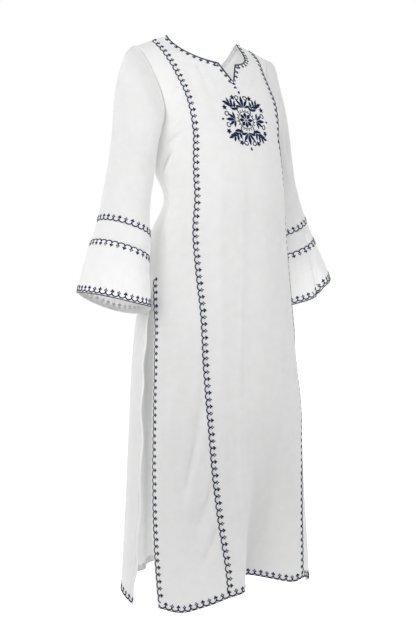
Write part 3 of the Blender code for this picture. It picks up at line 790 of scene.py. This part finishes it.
sleeve_rings = {}
for word in SIDES:
    above, below, opening = SLEEVE_SEAMS[word].values()
    arm = sleeve_rows(word, np.linspace(above, SLEEVE_TOP, SLEEVE_ARM_ROWS + 1), SLEEVE_HEAD_ROWS)
    band = sleeve_rows(word, np.linspace(below, above, BAND_ROWS + 1))
    cuff = sleeve_rows(word, up_from_hem(opening, below, CUFF_ROWS))
    sleeve_rings[word] = (arm[0], band[0], cuff[0])
    for part, node, grid, sewn, free, flat, area in (
            ("sleeve", "sleeve_upper", arm, [arm[0], arm[-1]], [], (0.52, 0.45), 0.135),
            ("plain_band", "sleeve_band", band, [band[0], band[-1]], [], (0.46, 0.05), 0.0198),
            ("cuff", "sleeve_cuff", cuff, [cuff[-1]], [cuff[0]], (0.58, 0.14), 0.070)):
        piece = cut_piece(
            f"{part}_{word}", [(grid, flat_places(grid))], SLEEVE_CREASES[word], sewn, free,
            f"{node}_{word}")

# The embroidered borders are navy thread worked through the cloth: scallops in satin stitch, with a
# stem and a small flower at each cusp, solid and open flowers in turn. They follow the neck,
# princess seams, slit edges, sleeve bands and hems, 1 mm proud, and a fine line edges neck and hems.
PITCH = 15.7               # stitching is drawn flat, and all its sizes are in millimetres
THREAD_HEIGHT = 0.9
THREAD_BURIED = -0.3
THREAD_TOP = 0.28          # half width of a strand's top, as a share of its width
ARC_WIDTH = 3.2
STEM_WIDTH = 2.6
RING_WIDTH = 1.9
ARC = ((-0.2, 1.2), (1.6, -2.4), (5.2, -4.4), (9.6, -4.5), (13.6, -2.7), (15.8, 1.0))
STEM = ((PITCH, 0.0), (PITCH, 4.0))
FLOWER = (PITCH, 5.0)
SOLID_PETALS = ((90, 5.4, 4.8), (178, 5.0, 4.6), (2, 5.0, 4.6))
OPEN_RING = (
    (15.7, 1.8), (13.6, 3.2), (13.3, 5.6), (15.7, 7.4), (18.1, 5.6), (17.8, 3.2), (15.7, 1.8))
OPEN_TIPS = (((15.7, 7.0), 90, 3.0, 2.6), ((13.4, 4.6), 176, 2.6, 2.6), ((18.0, 4.6), 4, 2.6, 2.6))
PETAL_TOP = 0.68           # size of a petal's top against its foot
PETAL_OUTLINE = (
    (0.0, 0.16), (0.50, 0.50), (0.84, 0.34), (1.0, 0.0), (0.84, -0.34), (0.50, -0.50), (0.0, -0.16))
COURSE_STEP = 0.003
COURSE_SMOOTHING = 3
LINE_STEP = 4.0


def thread_material(name, colour):
    """Cotton thread with a soft shine: close satin stitches, a little uneven in colour"""
    material, tree = new_material(name)
    place = add_node(tree, "TexCoord", "Object", {})
    stitches = add_node(
        tree, "TexWave", "Fac", {"Vector": place, "Scale": 420.0, "Distortion": 1.5, "Detail": 1.0},
        bands_direction="DIAGONAL")
    fade = add_node(tree, "TexNoise", "Fac", {"Vector": place, "Scale": 160.0, "Detail": 2.0})
    blend = add_node(tree, "Math", "Value", {0: stitches, 1: 0.4, 2: fade}, operation="MULTIPLY_ADD")
    dark, pale = ([level * share for level in colour] for share in (0.70, 1.45))
    bump = {"Strength": 0.5, "Distance": 0.0002, "Height": stitches}
    plug(tree, tree.nodes["Principled BSDF"], {
        "Base Color": tone_ramp(tree, blend, (0.35, dark), (1.0, pale)),
        "Roughness": 0.6,
        "Specular IOR Level": 0.12,
        "Normal": add_node(tree, "Bump", "Normal", bump),
    })
    return material


NAVY_THREAD = thread_material("navy_thread", (0.0058, 0.0132, 0.0515))


def strand(line, width, height=THREAD_HEIGHT):
    """Corners and faces of a raised line of stitches with a narrower top, closed at its ends; the
    width is one number or one for each point"""
    line = np.array(line, dtype=float)
    run = np.gradient(line, axis=0)
    run = run / np.linalg.norm(run, axis=1)[:, None]
    edges = ((-0.5, THREAD_BURIED), (0.5, THREAD_BURIED), (THREAD_TOP, height), (-THREAD_TOP, height))
    corners, faces = [], []
    for point, (ahead, aside), wide in zip(line, run, np.broadcast_to(width, len(line))):
        out = np.array((-aside, ahead)) * wide
        corners += [(*(point + out * reach), level) for reach, level in edges]
    for ring in range(0, 4 * (len(line) - 1), 4):
        for corner in range(4):
            after = (corner + 1) % 4
            faces.append((ring + corner, ring + after, ring + 4 + after, ring + 4 + corner))
    end = len(corners) - 4
    return np.array(corners), faces + [(3, 2, 1, 0), (end, end + 1, end + 2, end + 3)]


def heading(direction):
    """Flat unit vectors in a direction and to the left of it"""
    turn = math.radians(direction)
    return np.array((math.cos(turn), math.sin(turn))), np.array((-math.sin(turn), math.cos(turn)))


def petal(centre, direction, length, width, height=THREAD_HEIGHT):
    """A raised petal of satin stitch that is widest at its middle and has a smaller top"""
    ahead, out = heading(direction)
    corners, faces, count = [], [], len(PETAL_OUTLINE)
    for shrink, level in ((1.0, THREAD_BURIED), (PETAL_TOP, height)):
        for reach, spread in PETAL_OUTLINE:
            reach = 0.5 + (reach - 0.5) * shrink
            point = np.array(centre) + ahead * length * reach + out * width * spread * shrink
            corners.append((*point, level))
    for corner in range(count):
        after = (corner + 1) % count
        faces.append((corner, count + corner, count + after, after))
    return np.array(corners), faces + [tuple(range(count)), tuple(range(2 * count - 1, count - 1, -1))]


def gathered(shapes):
    """Corners and faces of several shapes as one"""
    corners, faces = [], []
    for more, ends in shapes:
        start = len(corners)
        corners.extend(more)
        faces.extend(tuple(start + corner for corner in face) for face in ends)
    return np.array(corners), faces


LINE_WORK = [strand(ARC, ARC_WIDTH), strand(STEM, STEM_WIDTH)]
REPEATS = (
    gathered(LINE_WORK + [petal(FLOWER, *sizes) for sizes in SOLID_PETALS]),
    gathered(LINE_WORK + [strand(OPEN_RING, RING_WIDTH)] + [petal(*tip) for tip in OPEN_TIPS]),
)


def outer_sheets(*names):
    """Search tree over the outer faces of some pieces"""
    points, faces = gathered(SHEETS[name] for name in names)
    return BVHTree.FromPolygons([Vector(point) for point in points], faces)


class Course:
    """A line on the cloth for stitches to follow; up_side is 1 or -1, the side of its flowers"""

    def __init__(self, tree, line, up_side):
        self.tree, self.up_side = tree, up_side
        length = lengths(line)
        steps = np.linspace(0, length[-1], max(8, int(length[-1] / COURSE_STEP)))
        found = [tree.find_nearest(Vector(point)) for point in read_line(line, length, steps)]
        self.points, normals = (np.array([hit[part] for hit in found]) for part in (0, 1))
        for _ in range(COURSE_SMOOTHING):
            normals[1:-1] = (normals[:-2] + normals[1:-1] * 2 + normals[2:]) / 4
        run = np.gradient(self.points, axis=0)
        across = np.cross(normals, run) * up_side
        self.across = across / np.linalg.norm(across, axis=1)[:, None]
        self.run = run / np.linalg.norm(run, axis=1)[:, None]
        self.at = lengths(self.points) * MM

    def set_on(self, corners, faces):
        """A flat shape, given along the line, up from it and proud of it, set on the cloth"""
        ahead = np.clip(corners[:, 0], 0, self.at[-1])
        point, across, run = (
            read_line(values, self.at, ahead) for values in (self.points, self.across, self.run))
        loose = point + (across * corners[:, 1:2] + run * (corners[:, 0] - ahead)[:, None]) / MM
        placed = []
        for spot, height in zip(loose, corners[:, 2] / MM):
            on, normal, _, _ = self.tree.find_nearest(Vector(spot))
            placed.append(on + normal * height)
        return placed, faces if self.up_side > 0 else [face[::-1] for face in faces]

    def border(self, lift, start=0.0, finish=0.0, first=0, depth=1.0):
        """Repeats between two insets, lifted up from the line, solid and open in turn"""
        room = self.at[-1] - start - finish
        count = max(1, round(room / PITCH))
        size = np.array((room / count / PITCH, depth, 1.0))
        shapes = []
        for number in range(count):
            corners, faces = REPEATS[(number + first) % 2]
            moved = corners * size + np.array((start + number * room / count, lift, 0))
            shapes.append(self.set_on(moved, faces))
        return shapes

    def line(self, lift, width, inset=0.0):
        """A plain line of stitches lifted up from the course, with an inset at both ends"""
        places = np.linspace(inset, self.at[-1] - inset, max(2, int(self.at[-1] / LINE_STEP)))
        return [self.set_on(*strand([(place, lift) for place in places], width))]


def stitched(name, shapes, material=NAVY_THREAD):
    """One piece of stitching from shapes already set on the cloth"""
    points, faces = gathered(shapes)
    mesh = bpy.data.meshes.new(name)
    mesh.from_pydata(points.tolist(), [], faces)
    mesh.update()
    mesh.materials.append(material)
    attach(in_scene(name, mesh), "root")


HEM_LIFT = 7.4             # from a turned edge to the cusps
HEM_INSET = 3.0
HEM_EDGE_LINE = {"lift": 1.0, "width": 1.0, "inset": 2.0}


def hem_border(course):
    """Shapes of the border over a hem, with a fine line along the hem's edge"""
    return course.border(HEM_LIFT, HEM_INSET, HEM_INSET) + course.line(**HEM_EDGE_LINE)


front_tree = outer_sheets("side_panel_right", "centre_panel", "side_panel_left")
front_hem = np.concatenate((side_grids["right"][0], centre_hem[1:], side_grids["left"][0][1:]))
stitched("border_front_hem", hem_border(Course(front_tree, front_hem, 1)))

FOOT_INSET = 12.0
SEAM_END = 1.0
SLIT_LIFT = 8.5
# How far the left princess border runs outside its seam, by height
LEFT_BORDER_ASIDE = ((-1060, 0), (-900, 18), (-320, 18), (-200, 0))
for word, side in SIDES.items():
    grid = side_grids[word][:, ::side]
    seam = grid[:, 0]
    if word == "left":
        beside = (grid[:, 1] - seam) / np.linalg.norm(grid[:, 1] - seam, axis=1)[:, None]
        aside = np.interp(seam[:, 2] * MM, *zip(*LEFT_BORDER_ASIDE)) / MM
        seam = seam + beside * aside[:, None]
    course = Course(front_tree, seam, side)
    stitched(f"border_princess_{word}", course.border(0.0, FOOT_INSET, SEAM_END))
    course = Course(front_tree, below_slit(grid[:, -1]), side)
    stitched(f"border_slit_{word}", course.border(SLIT_LIFT, FOOT_INSET))

NECK_LIFT = 6.4
NECK_DEPTH = 0.75
NOTCH_SPACE = 4.0          # left free on both sides of the notch's point
NECK_LINES = ((1.0, 1.3), (2.6, 0.9))


def neck_course(tree, left, up_side):
    """A course round a whole neck, from its left half"""
    return Course(tree, np.concatenate((mirrored(left)[::-1], left[1:])), up_side)


def neck_lines(course):
    """The two fine lines that edge a neck"""
    return [shape for lift, width in NECK_LINES for shape in course.line(lift, width)]


course = neck_course(front_tree, front_neck, -1)
past_notch = course.at[-1] / 2 + NOTCH_SPACE
stitched(
    "border_front_neck",
    course.border(NECK_LIFT, 0.0, past_notch, 0, NECK_DEPTH)
    + course.border(NECK_LIFT, past_notch, 0.0, 1, NECK_DEPTH) + neck_lines(course))

back_tree = outer_sheets("back_panel")
course = neck_course(back_tree, back_neck, 1)
stitched("border_back_neck", course.border(NECK_LIFT, 0.0, 0.0, 0, NECK_DEPTH) + neck_lines(course))
stitched("border_back_hem", hem_border(Course(back_tree, back_whole[0], 1)))

# The back's slit edges are turned over and held by topstitching: one row of short stitches in white
# cotton thread beside each edge.
STITCH_LIFT = 10.5
STITCH_INSET = 4.0
STITCH_PITCH = 3.6
STITCH_LENGTH = 2.6
STITCH_WIDTH = 0.7
STITCH_HEIGHT = 0.4
WHITE_THREAD = thread_material("white_thread", (0.62, 0.62, 0.61))


def topstitches(course):
    """Short stitches in a row beside an edge"""
    shapes = []
    for place in np.arange(STITCH_INSET, course.at[-1] - STITCH_INSET, STITCH_PITCH):
        line = ((place, STITCH_LIFT), (place + STITCH_LENGTH, STITCH_LIFT))
        shapes.append(course.set_on(*strand(line, STITCH_WIDTH, STITCH_HEIGHT)))
    return shapes


for word, edge, up_side in zip(("left", "right"), back_sides, (-1, 1)):
    course = Course(back_tree, below_slit(edge), up_side)
    stitched(f"topstitch_back_{word}", topstitches(course), WHITE_THREAD)

# Each sleeve carries a row of scallops above and below its plain band, flowers up above it and down
# below it, and a third row over a thick line at the cuff's turned edge.
BAND_LIFT = 6.0
CUFF_BORDER_LIFT = 9.8
CUFF_LINE = {"lift": 1.9, "width": 2.6}
for word in SIDES:
    tree = outer_sheets(f"sleeve_{word}", f"plain_band_{word}", f"cuff_{word}")
    upper, lower, edge = (
        Course(tree, ring, up_side) for ring, up_side in zip(sleeve_rings[word], (1, -1, 1)))
    stitched(
        f"border_sleeve_{word}",
        upper.border(BAND_LIFT) + lower.border(BAND_LIFT)
        + edge.border(CUFF_BORDER_LIFT) + edge.line(**CUFF_LINE))

# The chest motif is navy satin stitch below the neck's notch, about 14 cm wide and 15 cm high: a
# plain rosette in a ring, leafy sprays towards the corners, and a fan of petals at each point.
MOTIF_DOWN = 104.5         # from the notch to the rosette's middle, along the cloth
MOTIF_ASIDE = 8.0
CHEST_LINE_END = UNDERARM_Z - 0.12
BUDS_DOWN = (8.0, 18.5)
SATIN_HEIGHT = 1.1
LEAF_STATIONS = 8
LEAF_TIP = 0.08            # a leaf's width at its ends, as a share of its widest
PETAL_FULLEST = 1.2
ROSETTE_PETALS = 8
ROSETTE_START, ROSETTE_REACH, ROSETTE_WIDE = 4.2, 20.0, 10.2
KNOT = 6.0
RING_RADIUS, RING_POINTS, RING_LINE = 22.2, 41, 2.3
BEADS, BEAD_RING, BEAD_SIZE = 20, 26.2, 4.0
FAN_GAP = 3.4              # from a fan's root to its petals
# Each leaf: root, direction, length, width, bend
UPRIGHT_FAN = (
    ((0, 30), 90, 34, 10.4, 0), ((0, 30), 60, 28.5, 8.4, -0.12), ((0, 30), 30, 22.5, 7.4, -0.22),
    ((0, 65.5), 90, 12.5, 7.2, 0),
)
SIDE_FAN = (
    ((30, 0), 0, 30, 9.8, 0), ((30, 0), 30, 25, 8, 0.12), ((30, 0), 60, 20.5, 7, 0.22),
    ((61.5, 0), 0, 11, 6.6, 0),
)
SPRAY = ((17.8, 19), (21.5, 26.2), (26.8, 33), (33.5, 38.5), (40.5, 42), (47, 43))
SPRAY_LEAVES = (
    ((20.6, 25), 98, 13.5, 7.6, 0.15), ((22.2, 26.8), 2, 19, 8.4, 0.15),
    ((25.8, 32.2), 92, 18, 8.2, 0.12), ((30, 35.2), -3, 19, 8, 0.15),
    ((33.2, 38.4), 82, 17.5, 7.8, 0.10), ((38, 40.6), -10, 17.5, 7.6, 0.12),
    ((40.8, 42), 66, 15.5, 7.4, 0.08), ((46.2, 43), 14, 15, 7.8, 0),
)
SCROLLS = (
    ((9, 56), (14.5, 53.5), (18.2, 57.2), (16.8, 62.2), (11.6, 64), (7.2, 61.2), (8.4, 58)),
    ((51.5, 10), (50, 16), (53.7, 19.6), (58.5, 18), (60.2, 13.1), (57.8, 8.8), (54.5, 10)),
)
SCROLL_WIDTH = 2.9
SCROLL_POINTS = 13
BLOSSOMS = (((26.2, 58.5), 7, 5.2), ((57.5, 30.5), 7, 5.2))
BLOSSOM_PETALS = 5
QUARTERS = ((1, 1), (-1, 1), (1, -1), (-1, -1))


def leaf(root, direction, length, width, bend=0.0, fullest=0.85):
    """A satin-stitch leaf from its root, bent to one side; above 1, fullest puts its widest place
    nearer the tip"""
    share = np.linspace(0, 1, LEAF_STATIONS)
    ahead, out = heading(direction)
    line = np.array(root) + length * (share[:, None] * ahead + bend * share[:, None] ** 2 * out)
    return strand(line, width * np.maximum(LEAF_TIP, np.sin(math.pi * share ** fullest)), SATIN_HEIGHT)


def scroll(points):
    """A smooth strand through some flat points"""
    points = np.array(points, dtype=float)
    at = lengths(points)
    return strand(smooth_through(at, points, np.linspace(0, at[-1], SCROLL_POINTS)), SCROLL_WIDTH)


def fan_leaf(root, direction, length, width, bend):
    """A leaf that starts a little away from its root"""
    start = np.array(root) + FAN_GAP * heading(direction)[0]
    return leaf(start, direction, length - FAN_GAP, width, bend, PETAL_FULLEST)


def mirrored_shape(shape, across, up):
    """A flat shape mirrored across or up, still facing out of the cloth"""
    corners, faces = shape
    return corners * np.array((across, up, 1)), faces if across * up > 0 else [face[::-1] for face in faces]


def turned_about(shape, turn):
    """A shape turned about the motif's middle"""
    (x, y, height), cos, sin = shape[0].T, math.cos(turn), math.sin(turn)
    return np.stack((x * cos - y * sin, x * sin + y * cos, height), axis=1), shape[1]


def ring_of(shape, count, offset=0.0):
    """Copies of a shape all round the motif's middle"""
    return [turned_about(shape, 2 * math.pi * (n + offset) / count) for n in range(count)]


around = np.linspace(0, 2 * math.pi, RING_POINTS)
motif = [
    *ring_of(
        leaf((ROSETTE_START, 0.0), 0, ROSETTE_REACH - ROSETTE_START, ROSETTE_WIDE, 0.0, PETAL_FULLEST),
        ROSETTE_PETALS),
    petal((-KNOT / 2, 0.0), 0, KNOT, KNOT, SATIN_HEIGHT),
    strand(RING_RADIUS * np.stack((np.cos(around), np.sin(around)), axis=1), RING_LINE),
    *ring_of(petal((BEAD_RING - BEAD_SIZE / 2, 0.0), 0, BEAD_SIZE, BEAD_SIZE), BEADS, 0.5),
]
quarter = [scroll(SPRAY), *(leaf(*place) for place in SPRAY_LEAVES), *map(scroll, SCROLLS)]
quarter += [fan_leaf(*place) for place in UPRIGHT_FAN[1:3] + SIDE_FAN[1:3]]
for centre, length, width in BLOSSOMS:
    quarter += [leaf(centre, 360 / BLOSSOM_PETALS * n + 90, length, width) for n in range(BLOSSOM_PETALS)]
for across, up in QUARTERS:
    motif += [mirrored_shape(shape, across, up) for shape in quarter]
for place in (UPRIGHT_FAN[0], UPRIGHT_FAN[3], SIDE_FAN[0], SIDE_FAN[3]):
    motif += ring_of(fan_leaf(*place), 2)

chest_course = Course(front_tree, centre_line[centre_line[:, 2] > CHEST_LINE_END][::-1], 1)


def on_chest(shape, down, aside):
    """A flat shape set upright on the chest at a distance below the notch"""
    corners, faces = shape
    turned = np.stack((down - corners[:, 1], corners[:, 0] + aside, corners[:, 2]), axis=1)
    return chest_course.set_on(turned, faces)


placed = [on_chest(shape, MOTIF_DOWN, MOTIF_ASIDE) for shape in motif]
for down in BUDS_DOWN:
    aside = MOTIF_ASIDE * down / MOTIF_DOWN
    placed += [on_chest(petal((0.0, 0.0), *sizes), down, aside) for sizes in SOLID_PETALS]
stitched("chest_motif", placed)

# The floor is a plain white sheet under the kurti, in a white studio lit softly from all round, with
# three broad lamps on the camera's side and a brighter wall behind and to the right.
FLOOR_Z = -1.460
FLOOR_SIZE = 14.0
FLOOR_GLOW = 0.8
CAMERA_TURN = math.radians(-38.0)
CAMERA_DISTANCE = 3.0
CAMERA_Z = -0.5
FOCAL_PIXELS = 1205.0
IMAGE_WIDTH, IMAGE_HEIGHT = 416, 624
AXIS_PIXEL_X = 201.5
HORIZON_PIXEL_Y = 240.0
FILM = 36.0
WHITE = (1.0, 1.0, 1.0, 1.0)
ROOM_GLOW = 0.453
# Directions the room is brighter in, and by how much
ROOM_SIDES = (((1.0, 0.0, 0.0), 0.44), ((0.0, 1.0, 0.0), 0.84))
LAMP_AIM = Vector((0.0, 0.0, -0.35))
LAMP_SPREAD = math.radians(80.0)
LAMP_SIZE = 1.0
# Each lamp's place and power
LAMPS = {
    "left": ((-1.90, -0.90, 0.10), 2.95),
    "middle": ((-1.25, -1.60, 0.10), 2.6),
    "right": ((-0.30, -2.00, 0.10), 1.7),
}
bpy.ops.mesh.primitive_plane_add(size=FLOOR_SIZE, location=(0, 0, FLOOR_Z))
floor = bpy.context.active_object
floor.name = "floor"
bpy.ops.object.transform_apply(location=True)
floor.visible_diffuse = False
floor.visible_shadow = False
pale, tree = new_material("pale_floor")
plug(tree, tree.nodes["Principled BSDF"], {
    "Base Color": (0.92, 0.92, 0.92, 1.0),
    "Roughness": 0.9,
    "Emission Color": WHITE,
    "Emission Strength": FLOOR_GLOW,
})
floor.data.materials.append(pale)

world = bpy.data.worlds.new("studio")
bpy.context.scene.world = world
world.use_nodes = True
tree = world.node_tree
direction = add_node(tree, "TexCoord", "Generated", {})
glow = ROOM_GLOW
for towards, more in ROOM_SIDES:
    facing = add_node(tree, "VectorMath", "Value", {0: direction, 1: towards}, operation="DOT_PRODUCT")
    ahead = add_node(tree, "Math", "Value", {0: facing, 1: 0.0}, operation="MAXIMUM")
    glow = add_node(tree, "Math", "Value", {0: ahead, 1: more, 2: glow}, operation="MULTIPLY_ADD")
seen = add_node(tree, "LightPath", "Is Camera Ray", {})
strength = add_node(tree, "Mix", "Result", {"Factor": seen, "A": glow, "B": 1.0})
plug(tree, tree.nodes["Background"], {"Color": WHITE, "Strength": strength})

for name, (place, power) in LAMPS.items():
    lamp_data = bpy.data.lights.new(name, "AREA")
    lamp_data.shape = "DISK"
    lamp_data.size = LAMP_SIZE
    lamp_data.energy = power
    lamp_data.spread = LAMP_SPREAD
    lamp = in_scene(name, lamp_data)
    lamp.location = place
    lamp.rotation_euler = (LAMP_AIM - Vector(place)).to_track_quat("-Z", "Y").to_euler()

forward = Vector((-math.sin(CAMERA_TURN), math.cos(CAMERA_TURN), 0))
camera_data = bpy.data.cameras.new("camera")
camera_data.lens = FOCAL_PIXELS * FILM / IMAGE_HEIGHT
camera_data.sensor_width = FILM
camera_data.shift_x = (IMAGE_WIDTH / 2 - AXIS_PIXEL_X - 0.5) / IMAGE_HEIGHT
camera_data.shift_y = -(IMAGE_HEIGHT / 2 - HORIZON_PIXEL_Y - 0.5) / IMAGE_HEIGHT
camera = in_scene("camera", camera_data)
camera.location = forward * -CAMERA_DISTANCE + Vector((0, 0, CAMERA_Z))
camera.rotation_euler = forward.to_track_quat("-Z", "Y").to_euler()
bpy.context.scene.camera = camera
bpy.context.scene.view_settings.view_transform = "Standard"
